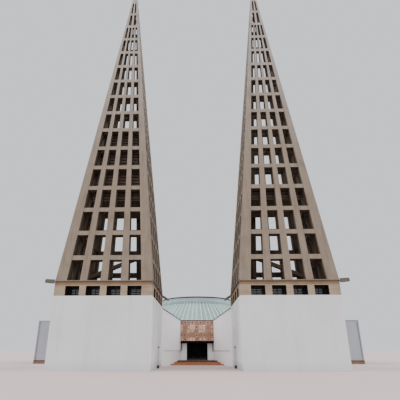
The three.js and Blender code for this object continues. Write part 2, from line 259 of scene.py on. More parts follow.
def patina(name, dark, light):
    # weathered copper sheet, each sheet a little different, streaked down the slope
    paint = Paint(name, roughness=0.55, specular=0.4)
    coneLow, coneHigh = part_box("roof_cone")
    angle = paint.maths("ARCTAN2", paint.x, paint.y - (coneLow.y + coneHigh.y) / 2)
    sheet = angle * (coneShape["seams"] / (2 * math.pi)) + 100
    shade = paint.chance(sheet.whole(), 0, 0)
    edge = abs(sheet.part() - 0.5).rise(0.3, 0.5)
    streak = paint.noise(6.0, 4, (1, 1, 0.3))
    cloud = paint.noise(0.8, 4)
    mask = shade * 0.35 + cloud.rise(0.3, 0.7) * 0.15 + streak.rise(0.4, 0.7) * 0.2 + edge * 0.15
    colour = paint.mix(mask.smaller(1), dark, light)
    return paint.finish(colour, streak + cloud, 0.001, 0.45 + streak * 0.25)


def reliefCopper(name, light, dark):
    # hammered brown copper, darker where dirt gathers, with painted shade towards the ends of the panel and a
    # painted highlight along its top
    paint = Paint(name, roughness=0.55, metallic=0.15, specular=0.3)
    dents = paint.noise(38, 3)
    cloud = paint.noise(5, 4)
    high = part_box("relief_panel")[1]
    # painted shade towards the ends, and a painted highlight along the top where foot falls to 0
    ends = abs(paint.x / high.x).rise(0.6, 1.05)
    foot = 1 - (paint.z / high.z).rise(0.72, 1.02)
    mask = (cloud.rise(0.35, 0.7) * 0.2 + dents * 0.15 + ends * 0.45 + foot * 0.3).smaller(1)
    return paint.finish(paint.mix(mask, light, dark), dents, 0.004, 0.45 + dents * 0.25)


tileLook = {
    "size": 0.3 * metre,
    "joint": 0.05,  # as a share of a tile
    "landingShadow": (84, 52, 34),
    "landingFrom": 0.085,  # how far below the top of the steps the painted shadow on the landing starts
    "landingFull": 0.07,
}


def tiles(name, light, dark, grout):
    # square terracotta tiles with grey joints, and a painted shadow in a darker brown on the landing
    paint = Paint(name, roughness=0.8)
    look = tileLook
    size = look["size"]
    acrossTiles = paint.x / size
    alongTiles = (paint.y + paint.z) / size
    edge = abs(acrossTiles.part() - 0.5).larger(abs(alongTiles.part() - 0.5))
    joint = edge.rise(0.5 - look["joint"], 0.5 - look["joint"] / 2)
    shade = paint.chance(acrossTiles.whole(), alongTiles.whole(), 0)
    grain = paint.noise(50, 4)
    colour = paint.mix((shade * 0.6 + grain * 0.4).smaller(1), light, dark)
    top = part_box("entrance_steps")[1].z
    # painted shadow: the landing before the door turns to the darker brown
    inLandingShadow = paint.z.rise(top - look["landingFrom"], top - look["landingFull"])
    colour = paint.mix(inLandingShadow, colour, look["landingShadow"])
    colour = paint.mix(joint, colour, grout)
    return paint.finish(colour, (1 - joint) + grain * 0.2, 0.003, 0.7 + grain * 0.2)


def metalCoat(name, base, worn, roughness=0.45, metallic=0.3):
    # painted or dull sheet metal, cloudy
    paint = Paint(name, roughness=roughness, metallic=metallic)
    grain = paint.noise(30, 4)
    cloud = paint.noise(2.5, 4)
    colour = paint.mix(cloud.rise(0.45, 0.8) * 0.7, base, worn)
    return paint.finish(colour, grain, 0.0006, roughness - 0.08 + grain * 0.2)


def doorPaint(name, base, worn):
    # near-black paint with fine upright grain
    paint = Paint(name, roughness=0.7, specular=0.08)
    grain = paint.noise(60, 4, (1, 1, 0.05))
    colour = paint.mix(grain.rise(0.4, 0.7), base, worn)
    return paint.finish(colour, grain, 0.0008, 0.6 + grain * 0.25)


def windowGlass(name, clear, hazy):
    # dark glass with a little haze
    paint = Paint(name, roughness=0.08, specular=0.6)
    haze = paint.noise(4, 3)
    colour = paint.mix(haze, clear, hazy)
    return paint.finish(colour, haze, 0.0004, 0.06 + haze * 0.12)


feltLook = {"strip": 1.0 * metre}  # width of a strip


def mineralFelt(name, pale, dark):
    # pale mineral felt in strips, with grit
    paint = Paint(name, roughness=0.95)
    grit = paint.noise(150, 3)
    cloud = paint.noise(0.9, 5)
    seam = abs((paint.x / feltLook["strip"]).part() - 0.5).rise(0.47, 0.49)
    shade = (cloud.rise(0.3, 0.7) * 0.6 + grit * 0.2 + seam * 0.4).smaller(1)
    colour = paint.mix(shade, pale, dark)
    return paint.finish(colour, grit * 0.5 + seam, 0.003)


# Mesh helpers

crisp, fine, blunt = 0.002, 0.003, 0.006  # how far the edges of plain pieces are softened


def bar(bm, low, high, soft=0.0, paint=0):
    # a block between two corners, with softened edges
    low, high = Vector(low), Vector(high)
    matrix = Matrix.Translation((low + high) / 2) @ Matrix.Diagonal((*(high - low), 1))
    made = bmesh.ops.create_cube(bm, size=1, matrix=matrix)
    faces = {face for vert in made["verts"] for face in vert.link_faces}
    for face in faces:
        face.material_index = paint
    if soft:
        made = soften(bm, list({edge for face in faces for edge in face.edges}), soft)
    return made["verts"]


def sideBar(bm, side, xs, ys, zs, soft=crisp, paint=0):
    # a block on one side of the middle plane, by its two ends in each direction
    left, right = sorted(side * x for x in xs)
    bar(bm, (left, ys[0], zs[0]), (right, ys[1], zs[1]), soft, paint)


def soften(bm, edges, soft, segments=2):
    return bmesh.ops.bevel(
        bm, geom=edges, offset=soft, affect="EDGES", segments=segments, profile=0.5, material=-1,
        clamp_overlap=True)


def sharpEdges(bm, least=0.4):
    return [edge for edge in bm.edges if edge.calc_face_angle(0) > least]


def uprightEdges(bm):
    return [edge for edge in sharpEdges(bm) if abs(edge.verts[0].co.z - edge.verts[1].co.z) > 1]


def faceOut(bm):
    bmesh.ops.recalc_face_normals(bm, faces=bm.faces)


def settle(bm):
    # numbers a mesh by place, so that flat faces are cut alike in each run after an extrusion
    def rank(spot):
        return sum(round(value, 4) * share for value, share in zip(spot, (1, 1e3, 1e6)))

    bm.verts.sort(key=lambda vert: rank(vert.co))
    bm.edges.sort(key=lambda edge: rank(edge.verts[0].co + edge.verts[1].co))
    bm.faces.sort(key=lambda face: rank(face.calc_center_median()))
    mesh = bpy.data.meshes.new("settled")
    bm.to_mesh(mesh)
    bm.clear()
    bm.from_mesh(mesh)
    bpy.data.meshes.remove(mesh)


def barAlong(bm, start, end, width, height, soft=0.0, paint=0):
    # a bar whose lower middle line runs from start to end
    start, end = Vector(start), Vector(end)
    run = end - start
    turn = run.to_track_quat("X", "Z").to_matrix().to_4x4()
    verts = bar(bm, (-run.length / 2, -width / 2, 0), (run.length / 2, width / 2, height), soft, paint)
    bmesh.ops.transform(bm, verts=verts, matrix=Matrix.Translation((start + end) / 2) @ turn)


def extruded(bm, points, shift):
    # a body from a flat outline, drawn out by a vector, and the vertices of its far end
    face = bm.faces.new([bm.verts.new(point) for point in points])
    made = bmesh.ops.extrude_face_region(bm, geom=[face], use_keep_orig=True)
    far = [item for item in made["geom"] if isinstance(item, bmesh.types.BMVert)]
    bmesh.ops.translate(bm, verts=far, vec=shift)
    faceOut(bm)
    return far


def spinCopies(bm, count):
    # repeats everything in a mesh evenly round the upright axis through the origin
    bmesh.ops.spin(
        bm, geom=bm.verts[:] + bm.edges[:] + bm.faces[:], cent=(0, 0, 0), axis=(0, 0, 1),
        angle=2 * math.pi * (count - 1) / count, steps=count - 1, use_duplicate=True)


def turned(bm, centre, profile, steps, closed=False):
    # a section of radius against height, turned round an upright axis
    verts = [bm.verts.new((centre.x, centre.y + radius, z)) for radius, z in profile]
    ends = verts[1:] + verts[:1] if closed else verts[1:]
    edges = [bm.edges.new(pair) for pair in zip(verts, ends)]
    bmesh.ops.spin(
        bm, geom=verts + edges, cent=(centre.x, centre.y, 0), axis=(0, 0, 1), angle=2 * math.pi,
        steps=steps, use_merge=True)
    bmesh.ops.remove_doubles(bm, verts=bm.verts, dist=0.0002)
    settle(bm)
    faceOut(bm)


def cleanCopy(name):
    # a CAD node as a tidy mesh that can be bevelled
    bm = bmesh.new()
    bm.from_mesh(nodes[name].data)
    bmesh.ops.remove_doubles(bm, verts=bm.verts, dist=0.0001)
    bmesh.ops.dissolve_limit(bm, angle_limit=0.01, verts=bm.verts, edges=bm.edges)
    return bm


def place(name, bm, paints, standsFor=(), body="root"):
    # makes a mesh a piece of the object, which rides on a body and may stand for CAD nodes
    mesh = bpy.data.meshes.new(name)
    bm.to_mesh(mesh)
    bm.free()
    piece = bpy.data.objects.new(name, mesh)
    bpy.context.scene.collection.objects.link(piece)
    for paint in paints:
        mesh.materials.append(materials[paint])
    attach(piece, body)
    if standsFor:
        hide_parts(*standsFor)


def softened(name, node, soft, paint):
    # a CAD node with its edges softened
    bm = cleanCopy(node)
    soften(bm, sharpEdges(bm), soft)
    place(name, bm, [paint], [node])


def repaint(node, paint):
    for slot in nodes[node].material_slots:
        slot.material = materials[paint]


def wholeBox(*names):
    # the box round several CAD nodes
    boxes = [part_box(name) for name in names]
    low = Vector([min(values) for values in zip(*[box[0] for box in boxes])])
    high = Vector([max(values) for values in zip(*[box[1] for box in boxes])])
    return low, high


# Towers

towerSides = ("front", "back", "inner", "outer")
blockShape = {"soft": 0.03, "segments": 4, "skirtingTop": 0.64 * metre, "skirtingProud": 0.005}


def towerBlock(label):
    # the white block as one body, its four walls without joints
    names = [f"tower_{side}_wall_{label}" for side in towerSides]
    low, high = wholeBox(*names)
    half = towerPlan(label)[1]
    wallLow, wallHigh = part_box(f"tower_inner_wall_{label}")
    bm = bmesh.new()
    bar(bm, (-half, -half, low.z), (half, half, high.z))
    ends = [face for face in bm.faces if abs(face.normal.z) > 0.5]
    bmesh.ops.inset_region(bm, faces=ends, thickness=wallHigh.x - wallLow.x, use_even_offset=True)
    bmesh.ops.bridge_loops(bm, edges=[edge for face in ends for edge in face.edges])
    bmesh.ops.delete(bm, geom=ends, context="FACES_ONLY")
    bmesh.ops.transform(bm, verts=bm.verts, matrix=towerPlace(label))
    faceOut(bm)
    soften(bm, uprightEdges(bm), blockShape["soft"], blockShape["segments"])
    place(f"towerBlock_{label}", bm, ["whitePlaster"], names)
    skirting(label, low, high)


def skirting(label, low, high):
    # a thin grey sleeve round the block's foot
    shape = blockShape
    proud = shape["skirtingProud"]
    bm = bmesh.new()
    bar(bm, (low.x - proud, low.y - proud, 0), (high.x + proud, high.y + proud, shape["skirtingTop"]))
    bmesh.ops.delete(bm, geom=[f for f in bm.faces if abs(f.normal.z) > 0.5], context="FACES_ONLY")
    soften(bm, [edge for edge in bm.edges if edge.is_manifold], shape["soft"], shape["segments"])
    bmesh.ops.solidify(bm, geom=bm.faces[:], thickness=2 * proud)
    faceOut(bm)
    place(f"towerSkirting_{label}", bm, ["greySkirting"])


# The spire is worked out in real metres, as wide as deep, round an axis at the origin
spireShape = {
    "wideEdges": (0.36, 1.64, 2.36, 3.64),  # edges of the four openings from the middle
    "narrowEdges": (0.75, 2.85),  # the same for the two openings near the top
    "wideRows": 14,
    "narrowRows": 2,
    "pitch": 2.68,  # from one beam to the next
    "beam": 0.48,
    "firstBeam": 7.7,  # middle height of the lowest beam
    "deckZ": 8.0,
    "sillTop": 8.08,
    "halfBase": 4.75,
    "hollowBase": 3.8,  # half the hollow's width at the deck and under the tip
    "hollowTip": 0.08,
    "tipZ": 50.82,
    "apexZ": 54.6,
    "beamInset": 0.02,
    "beamSetBack": 0.03,
    "soft": 0.02,
    "softBelow": 44,  # the edges above this height stay sharp
}


def shareLeft(z):
    # how much of the spire's base width is left at a height
    return 1 - (z - spireShape["deckZ"]) / (spireShape["apexZ"] - spireShape["deckZ"])


def hollowHalf(z):
    shape = spireShape
    share = (z - shape["deckZ"]) / (shape["tipZ"] - shape["deckZ"])
    return shape["hollowBase"] * (1 - share) + shape["hollowTip"] * share


def latticeRows():
    # heights of the rows as (bottom, top, kind), from the deck up
    shape = spireShape
    rows = []
    previous = shape["deckZ"]
    for row in range(shape["wideRows"] + shape["narrowRows"]):
        beam = shape["firstBeam"] + row * shape["pitch"]
        low = max(beam + shape["beam"] / 2, shape["sillTop"])
        high = beam + shape["pitch"] - shape["beam"] / 2
        kind = "wide" if row < shape["wideRows"] else "narrow"
        rows.append((previous, low, "beam"))
        rows.append((low, high, kind))
        previous = high
    rows.append((previous, shape["tipZ"], "beam"))
    return rows


def inOpening(u, kind):
    if kind == "narrow":
        low, high = spireShape["narrowEdges"]
        return low < abs(u) < high
    a, b, c, d = spireShape["wideEdges"]
    return a < abs(u) < b or c < abs(u) < d


def innerPlace(spot, changeZ):
    # where a point of the outer skin lands on the inner one: straight back, as far as the mitre
    edge = spireShape["wideEdges"][-1] if spot.z < changeZ else spireShape["narrowEdges"][-1]
    hollow = hollowHalf(spot.z)
    corner = max(hollow, edge * shareLeft(spot.z))
    if abs(spot.x) >= corner:
        return Vector((math.copysign(corner, spot.x), -corner, spot.z))
    return Vector((spot.x, -max(hollow, abs(spot.x)), spot.z))


def latticeGrid(bm, rows):
    # a flat upright grid with a line at every edge of an opening or a beam
    shape = spireShape
    half = shape["halfBase"]
    steps = sorted(set(shape["wideEdges"] + shape["narrowEdges"]))
    columns = [-half] + [-u for u in reversed(steps)] + steps + [half]
    heights = [rows[0][0]] + [row[1] for row in rows]
    bmesh.ops.create_grid(bm, x_segments=len(columns) - 1, y_segments=len(rows), size=1)
    for vert in bm.verts:
        column = round((vert.co.x + 1) / 2 * (len(columns) - 1))
        level = round((vert.co.y + 1) / 2 * len(rows))
        vert.co = (columns[column], 0, heights[level])


def latticeSkin(bm, rows):
    # the grid with its openings taken out and its beams set back, leaned towards the apex
    shape = spireShape
    half = shape["halfBase"]
    latticeGrid(bm, rows)
    openings, beams = [], []
    for face in bm.faces:
        middle = face.calc_center_median()
        kind = next(row[2] for row in rows if row[0] < middle.z < row[1])
        if kind != "beam" and inOpening(middle.x, kind):
            openings.append(face)
        elif kind == "beam" and rows[0][1] < middle.z < rows[-2][0] and inOpening(middle.x, "wide"):
            beams.append(face)
            face.material_index = 1
    bmesh.ops.delete(bm, geom=openings, context="FACES")
    for vert in bm.verts:
        share = shareLeft(vert.co.z)
        vert.co = (vert.co.x * share, -half * share, vert.co.z)
    faceOut(bm)
    if bm.faces[0].normal.y > 0:
        bmesh.ops.reverse_faces(bm, faces=bm.faces)
    bmesh.ops.inset_region(
        bm, faces=beams, thickness=shape["beamInset"], depth=-shape["beamSetBack"],
        use_boundary=False, use_even_offset=True)


def latticeSide(bm):
    # the skin and its thickness, open along the mitres and at the top
    rows = latticeRows()
    latticeSkin(bm, rows)
    changeZ = spireShape["firstBeam"] + spireShape["wideRows"] * spireShape["pitch"]
    made = bmesh.ops.extrude_face_region(bm, geom=bm.faces[:], use_keep_orig=True)
    for item in made["geom"]:
        if isinstance(item, bmesh.types.BMVert):
            item.co = innerPlace(item.co, changeZ)
    settle(bm)
    bmesh.ops.remove_doubles(bm, verts=bm.verts, dist=0.0005)
    tip = spireShape["tipZ"]
    spare = [
        face for face in bm.faces
        if all(abs(abs(v.co.x) - abs(v.co.y)) < 0.001 for v in face.verts)
        or all(abs(v.co.z - tip) < 0.001 for v in face.verts)]
    bmesh.ops.delete(bm, geom=spare, context="FACES")


def spire(label):
    # four leaning lattice sides as one body, closed by a solid point
    shape = spireShape
    bm = bmesh.new()
    latticeSide(bm)
    spinCopies(bm, 4)
    bmesh.ops.remove_doubles(bm, verts=bm.verts, dist=0.001)
    rimHalf = shape["halfBase"] * shareLeft(shape["tipZ"])
    top = [edge for edge in bm.edges if edge.is_boundary]
    outside = [e for e in top if all(max(abs(v.co.x), abs(v.co.y)) > 0.9 * rimHalf for v in e.verts)]
    inside = [edge for edge in top if edge not in outside]
    bmesh.ops.holes_fill(bm, edges=inside)
    grown = bmesh.ops.extrude_edge_only(bm, edges=outside)
    point = [item for item in grown["geom"] if isinstance(item, bmesh.types.BMVert)]
    bmesh.ops.pointmerge(bm, verts=point, merge_co=(0, 0, shape["apexZ"]))
    settle(bm)
    faceOut(bm)
    bmesh.ops.dissolve_limit(bm, angle_limit=0.002, verts=bm.verts, edges=bm.edges, delimit={"MATERIAL"})
    low = [e for e in sharpEdges(bm, 0.5) if all(v.co.z < shape["softBelow"] for v in e.verts)]
    soften(bm, low, shape["soft"], 1)
    bmesh.ops.transform(bm, verts=bm.verts, matrix=towerPlace(label) @ Matrix.Scale(metre, 4))
    names = [f"spire_{part}_{label}" for part in (*towerSides, "tip")]
    place(f"spire_{label}", bm, ["latticeConcrete", "beamConcrete"], names)


bandShape = {
    "windowEdges": (0.325 * metre, 1.675 * metre, 2.325 * metre, 3.675 * metre),
    "windowHeight": 0.93 * metre,
    "beamHeight": 0.27 * metre,
    "shadeFadeDepth": 0.04,
    "soft": 0.008,
}

windowShape = {
    "frame": 0.06 * metre,
    "slats": 5,
    "slatDepth": 0.09 * metre,
    "slatThickness": 0.014 * metre,
    "slatTilt": math.radians(35),
}


def bandWindow(bm, left, right, face, bottom, top):
    # a frame with a middle bar and fixed louvres, before the glass
    shape = windowShape
    width = shape["frame"]
    front = face - width
    middle = (left + right) / 2
    bar(bm, (left, front, bottom), (left + width, face, top))
    bar(bm, (right - width, front, bottom), (right, face, top))
    bar(bm, (middle - width / 2, front, bottom), (middle + width / 2, face, top))
    bar(bm, (left, front, bottom), (right, face, bottom + width))
    bar(bm, (left, front, top - width), (right, face, top))
    gap = (top - bottom - 2 * width) / shape["slats"]
    half = shape["slatThickness"] / 2
    for i in range(shape["slats"]):
        z = bottom + width + (i + 0.5) * gap
        slat = bar(bm, (left + width, front - shape["slatDepth"], z - half), (right - width, front, z + half))
        bmesh.ops.rotate(
            bm, verts=slat, cent=(0, front, z), matrix=Matrix.Rotation(shape["slatTilt"], 3, "X"))


def bandWindows(label):
    glassLow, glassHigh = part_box(f"tower_window_glass_{label}")
    face = (glassLow.x - glassHigh.x) / 2
    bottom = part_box(f"tower_window_band_{label}")[0].z
    a, b, c, d = bandShape["windowEdges"]
    bm = bmesh.new()
    for left, right in ((-d, -c), (-b, -a), (a, b), (c, d)):
        bandWindow(bm, left, right, face, bottom, bottom + bandShape["windowHeight"])
    spinCopies(bm, 4)
    bmesh.ops.transform(bm, verts=bm.verts, matrix=towerPlace(label))
    place(f"bandWindows_{label}", bm, ["louvreMetal"])


deckShape = {"overhang": 0.08 * metre, "soft": 0.008}

spoutShape = {
    "width": 0.26 * metre,
    "bottom": 7.75 * metre,
    "top": 8.08 * metre,
    "inset": 0.02 * metre,
    "sheet": 0.035 * metre,
    "level": {"length": 0.85 * metre, "rise": 0.06 * metre, "fall": 0},
    "falling": {"length": 0.85 * metre, "rise": 0.1 * metre, "fall": 0.25 * metre, "size": 0.6},
    "short": {"length": 0.12 * metre, "rise": 0, "fall": 0},
}


def spout(length, rise, fall, size=1.0):
    # an open channel on concrete, its root raised and its mouth lowered, its inside and its mouth painted
    # dark as painted shade
    shape = spoutShape
    half, sheet = shape["width"] * size / 2, shape["sheet"] * size
    bottom = shape["bottom"]
    top = bottom + (shape["top"] - bottom) * size
    section = [
        (-half, top), (-half, bottom), (half, bottom), (half, top),
        (half - sheet, top), (half - sheet, bottom + 2 * sheet),
        (-half + sheet, bottom + 2 * sheet), (-half + sheet, top)]
    bm = bmesh.new()
    far = extruded(bm, [(0, y, z) for y, z in section], (length, 0, 0))
    for vert in bm.verts:
        if vert not in far and vert.co.z > top - 0.001:
            vert.co.z += rise
    bmesh.ops.translate(bm, verts=far, vec=(0, 0, -fall))
    # painted shade: the channel's floor, the tops of its sides and the mouth's end take the dark paint
    for face in bm.faces:
        face.material_index = 1 if face.normal.z > 0.5 or face.normal.x > 0.9 else 0
    soften(bm, sharpEdges(bm), sheet / 4)
    return bm


def deck(label, side):
    # the deck plate with its dark edge, and a channel spout at each corner
    shape = deckShape
    node = f"tower_deck_{label}"
    low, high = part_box(f"tower_window_band_{label}")
    glassLow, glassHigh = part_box(f"tower_window_glass_{label}")
    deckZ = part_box(f"spire_front_{label}")[0].z
    over, soft = shape["overhang"], shape["soft"]
    bm = bmesh.new()
    bar(bm, (low.x - over, low.y - over, high.z), (high.x + over, high.y + over, deckZ), soft)
    coreLow = Vector((glassLow.x + soft, glassLow.y + soft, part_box(node)[0].z))
    bar(bm, coreLow, (glassHigh.x - soft, glassHigh.y - soft, high.z + soft))
    place(f"deck_{label}", bm, ["edgeConcrete"], [node])

    centre = (low + high) / 2
    reach = (high - low) / 2 + Vector((1, 1, 0)) * (over - spoutShape["inset"])
    front = ("level", "short") if side < 0 else ("short", "level")
    for corner, kind in enumerate(("falling", "falling", *front)):
        angle = math.pi / 4 + corner * math.pi / 2
        x = centre.x + math.copysign(reach.x, math.cos(angle))
        y = centre.y + math.copysign(reach.y, math.sin(angle))
        bm = spout(**spoutShape[kind])
        turn = Matrix.Rotation(angle, 4, "Z")
        bmesh.ops.transform(bm, verts=bm.verts, matrix=Matrix.Translation((x, y, 0)) @ turn)
        place(f"spout_{label}_{corner + 1}", bm, ["spoutConcrete", "spoutShadeDark"])


braceShape = {
    "height": 0.42 * metre,
    "depth": 0.5 * metre,
    "soft": 0.01,
    "low": 8.75 * metre,  # its height at the outer side
    "high": 11.75 * metre,  # its height at the inner side
}


def brace(label, side):
    # a sloping beam across the spire, from the outer to the inner middle mullion
    shape = braceShape
    centre = towerPlan(label)[0]
    start = (centre.x + side * hollowHalf(shape["low"] / metre) * metre, centre.y, shape["low"])
    end = (centre.x - side * hollowHalf(shape["high"] / metre) * metre, centre.y, shape["high"])
    bm = bmesh.new()
    barAlong(bm, start, end, shape["depth"], shape["height"], shape["soft"])
    place(f"brace_{label}", bm, ["shadedConcrete"])


belfryShape = {
    "clear": 0.35,  # real metres, as the spire
    "bottom": 17.3,
    "top": {"left": 27.2, "right": 18.9},
    "slatPitch": 0.4,
    "slatSize": 0.05,
    "slatProud": 0.12,
}


def belfry(label):
    # a dark louvred chamber that shows through the openings part of the way up
    shape = belfryShape
    low, high = shape["bottom"], shape["top"][label]
    thick = shape["slatSize"] / 2
    bm = bmesh.new()
    for i in range(round((high - low) / shape["slatPitch"])):
        z = low + (i + 0.5) * shape["slatPitch"]
        half = hollowHalf(z) - shape["clear"]
        bar(bm, (-half, -half - shape["slatProud"], z - thick), (half, -half + thick, z + thick), 0, 1)
    spinCopies(bm, 4)
    for vert in bar(bm, (-1, -1, low), (1, 1, high)):
        vert.co.xy *= hollowHalf(vert.co.z) - shape["clear"]
    bmesh.ops.transform(bm, verts=bm.verts, matrix=towerPlace(label) @ Matrix.Scale(metre, 4))
    place(f"belfry_{label}", bm, ["shadedConcrete", "louvreMetal"])


# Copings, which cap every wall in lengths of sheet metal

copingShape = {
    "length": 2.5 * metre,
    "joint": 0.006,
    "sheet": 0.06 * metre,
    "lip": 0.12 * metre,
    "proud": 0.012,
}


def copingRun(bm, start, end, wallWidth, sheet=copingShape["sheet"]):
    # lengths of sheet along a wall's top, each with a lip on both sides
    shape = copingShape
    start, end = Vector(start), Vector(end)
    run = end - start
    count = max(1, round(run.length / shape["length"]))
    step = run / count
    gap = run.normalized() * shape["joint"] / 2
    across = Vector((-run.y, run.x, 0)).normalized() * (wallWidth / 2 + shape["proud"] / 2)
    drop = Vector((0, 0, shape["lip"]))
    for i in range(count):
        a, b = start + step * i + gap, start + step * (i + 1) - gap
        barAlong(bm, a, b, wallWidth + 2 * shape["proud"], sheet, crisp)
        for way in (-1, 1):
            barAlong(bm, a + across * way - drop, b + across * way - drop, shape["proud"], shape["lip"], 0, 1)


# Hall

hallShape = {"pier": 0.48 * metre, "soft": 0.015, "setBack": 0.012}


def hallWalls():
    # front, side and back walls with the returns into the niche, as one body
    names = ["hall_back_wall"]
    names += [f"hall_{wall}_wall_{label}" for wall in ("front", "side") for label, _ in sides]
    low, high = wholeBox(*names)
    frontLow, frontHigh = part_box("hall_front_wall_right")
    sideLow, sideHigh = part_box("hall_side_wall_right")
    thick = sideHigh.x - sideLow.x
    back = hallShape["setBack"]
    near, far = frontLow.x, high.x - back
    pier = near + hallShape["pier"]
    front, rear, niche = low.y, high.y - back, frontHigh.y
    outside = [(near, niche), (near, front), (far, front), (far, rear)]
    inside = [
        (high.x - thick, high.y - thick), (high.x - thick, front + thick),
        (pier, front + thick), (pier, niche)]
    outline = outside + [(-x, y) for x, y in reversed(outside)]
    outline += [(-x, y) for x, y in reversed(inside)] + inside
    bm = bmesh.new()
    extruded(bm, [(x, y, low.z) for x, y in outline], (0, 0, high.z - low.z))
    soften(bm, uprightEdges(bm), hallShape["soft"], 3)
    place("hallWalls", bm, ["dullPlaster"], names)
    hallCoping((near, far), (front, rear), high.z, thick)


def hallCoping(xs, ys, top, thick):
    # along the front walls, the side walls and the back wall
    (near, far), (front, rear), half = xs, ys, thick / 2
    bm = bmesh.new()
    for way in (-1, 1):
        copingRun(bm, (way * near, front + half, top), (way * far, front + half, top), thick)
        side = way * (far - half)
        copingRun(bm, (side, front + thick, top), (side, rear - thick, top), thick)
    copingRun(bm, (-far, rear - half, top), (far, rear - half, top), thick)
    place("hallCoping", bm, ["darkMetal", "dullCoping"])


pipeShape = {
    "radius": 0.06 * metre,
    "inFromCorner": 0.22 * metre,
    "hopper": 0.16 * metre,
    "hopperReach": (1.6, 2.4),  # half its width and its depth, in radii of the pipe
    "hopperSoft": 0.004,
    "brackets": 4,
    "bracketReach": (1.2, 2.1),
    "bracketHeight": 0.02,
}


def downpipe(label, side):
    # a rainwater pipe with a hopper near the outer edge of each wing
    shape = pipeShape
    low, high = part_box(f"hall_front_wall_{label}")
    radius, hopper = shape["radius"], shape["hopper"]
    outer = high.x if side > 0 else low.x
    spot = Vector((outer - side * shape["inFromCorner"], low.y - radius, 0))
    top = high.z - copingShape["lip"]
    pipeTop = top - hopper
    blocks = [(shape["hopperReach"], pipeTop, top, shape["hopperSoft"])]
    for i in range(shape["brackets"]):
        z = low.z + (pipeTop - low.z) * (i + 0.5) / shape["brackets"]
        blocks.append((shape["bracketReach"], z, z + shape["bracketHeight"], crisp))
    bm = bmesh.new()
    turned(bm, spot, [(0, low.z), (radius, low.z), (radius, pipeTop), (0, pipeTop)], 20)
    for (half, deep), bottom, upper, soft in blocks:
        half, front = half * radius, low.y - deep * radius
        bar(bm, (spot.x - half, front, bottom), (spot.x + half, low.y, upper), soft)
    place(f"downpipe_{label}", bm, ["greySteel"])


diagonalShape = {
    "soft": blunt,
    "coping": 0.15 * metre,
    "lineZ": 1.66 * metre,
    "lineFrom": 0.12,  # where the line of moulding starts, as a share of the wall
    "lineSize": 0.06 * metre,
    "skirtingTop": 0.62 * metre,
    "skirtingProud": 0.02 * metre,
}


def diagonalWall(label, side):
    shape = diagonalShape
    node = f"diagonal_wall_{label}"
    low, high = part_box(node)
    # the diagonal walls, their copings' lips and their skirtings in a paler copy of the white plaster, as
    # painted light
    softened(f"diagonalWall_{label}", node, shape["soft"], "litDiagonalPlaster")

    # the wall's middle line, along its top from the tower's corner to the portal
    verts = [vert.co for vert in nodes[node].data.vertices]
    nearTop = [co for co in verts if co.y < low.y + 0.001 and co.z > 1]
    farTop = [co for co in verts if co.y > high.y - 0.001 and co.z > 1]
    start = sum(nearTop, Vector()) / len(nearTop)
    end = sum(farTop, Vector()) / len(farTop)
    width = max(co.x for co in farTop) - min(co.x for co in farTop)
    bm = bmesh.new()
    copingRun(bm, start, end, width, shape["coping"])
    place(f"diagonalCoping_{label}", bm, ["darkMetal", "litDiagonalPlaster"])

    # a thin line of moulding, grey as a painted shadow line, and a low skirting
    inward = Vector((-side * width / 2, 0, 0))
    line, proud = shape["lineSize"], shape["skirtingProud"]
    lineStart = start.lerp(end, shape["lineFrom"]) + inward
    trim(f"wallLine_{label}", lineStart, end + inward, shape["lineZ"], line, line, 0, "shadowLineGrey")
    trim(f"diagonalSkirting_{label}", start + inward, end + inward, 0, 2 * proud, shape["skirtingTop"],
         crisp, "litDiagonalPlaster")


def trim(name, start, end, z, width, height, soft, paint):
    # a level strip along a wall
    start.z = end.z = z
    bm = bmesh.new()
    barAlong(bm, start, end, width, height, soft)
    place(name, bm, [paint])


# Portal

reliefShape = {
    "columns": (0.42, 0.6, 0.36, 0.8, 0.5, 0.66, 0.4, 0.74, 0.46),
    "rows": (0.4, 0.58, 0.34, 0.62, 0.44),
    "gap": 0.018 * metre,
    "proud": 0.06 * metre,
    "soft": fine,
    "root": 0.01,  # how deep tiles reach into the panel, and how far a lozenge stands out
    "layers": ((0.35, 0, 1), (0.6, 1, 0), (0.85, 1, 2)),  # share of proud, tile's paint, motif's paint
    "steps": (0.62, 0.3),  # sizes of the two steps, as shares of a tile
    "stepProud": 0.005,
    "boss": 0.3,  # its radius, as a share of a tile
    "bossDepth": 0.35,  # how much of a ball's depth is left
    "ribs": 5,
    "rib": (1 / 22, 0.42),  # half its width and height, as shares of a tile
    "ribProud": 0.008,
    "lozenge": 0.25,  # half its side, as a share of a tile
    "lozengeProud": 0.004,
}


def reliefPanel():
    # a generic play of tiles, steps, bosses and ribs in beaten copper
    shape = reliefShape
    low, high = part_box("relief_panel")
    bm = bmesh.new()
    bar(bm, low, high, blunt, 2)
    gap = shape["gap"]
    columnShare = (high.x - low.x) / sum(shape["columns"])
    rowShare = (high.z - low.z) / sum(shape["rows"])
    left = low.x
    for i, column in enumerate(shape["columns"]):
        right = left + column * columnShare
        bottom = low.z
        for j, row in enumerate(shape["rows"]):
            top = bottom + row * rowShare
            cell = (left + gap, right - gap, bottom + gap, top - gap)
            reliefTile(bm, cell, low.y, (i * 5 + j * 3) % 4, (i * 2 + j * 2 + i * j) % 3)
            bottom = top
        left = right
    paints = ["copperLight", "copperMid", "copperDark"]
    place("reliefPanel", bm, paints, ["relief_panel"])


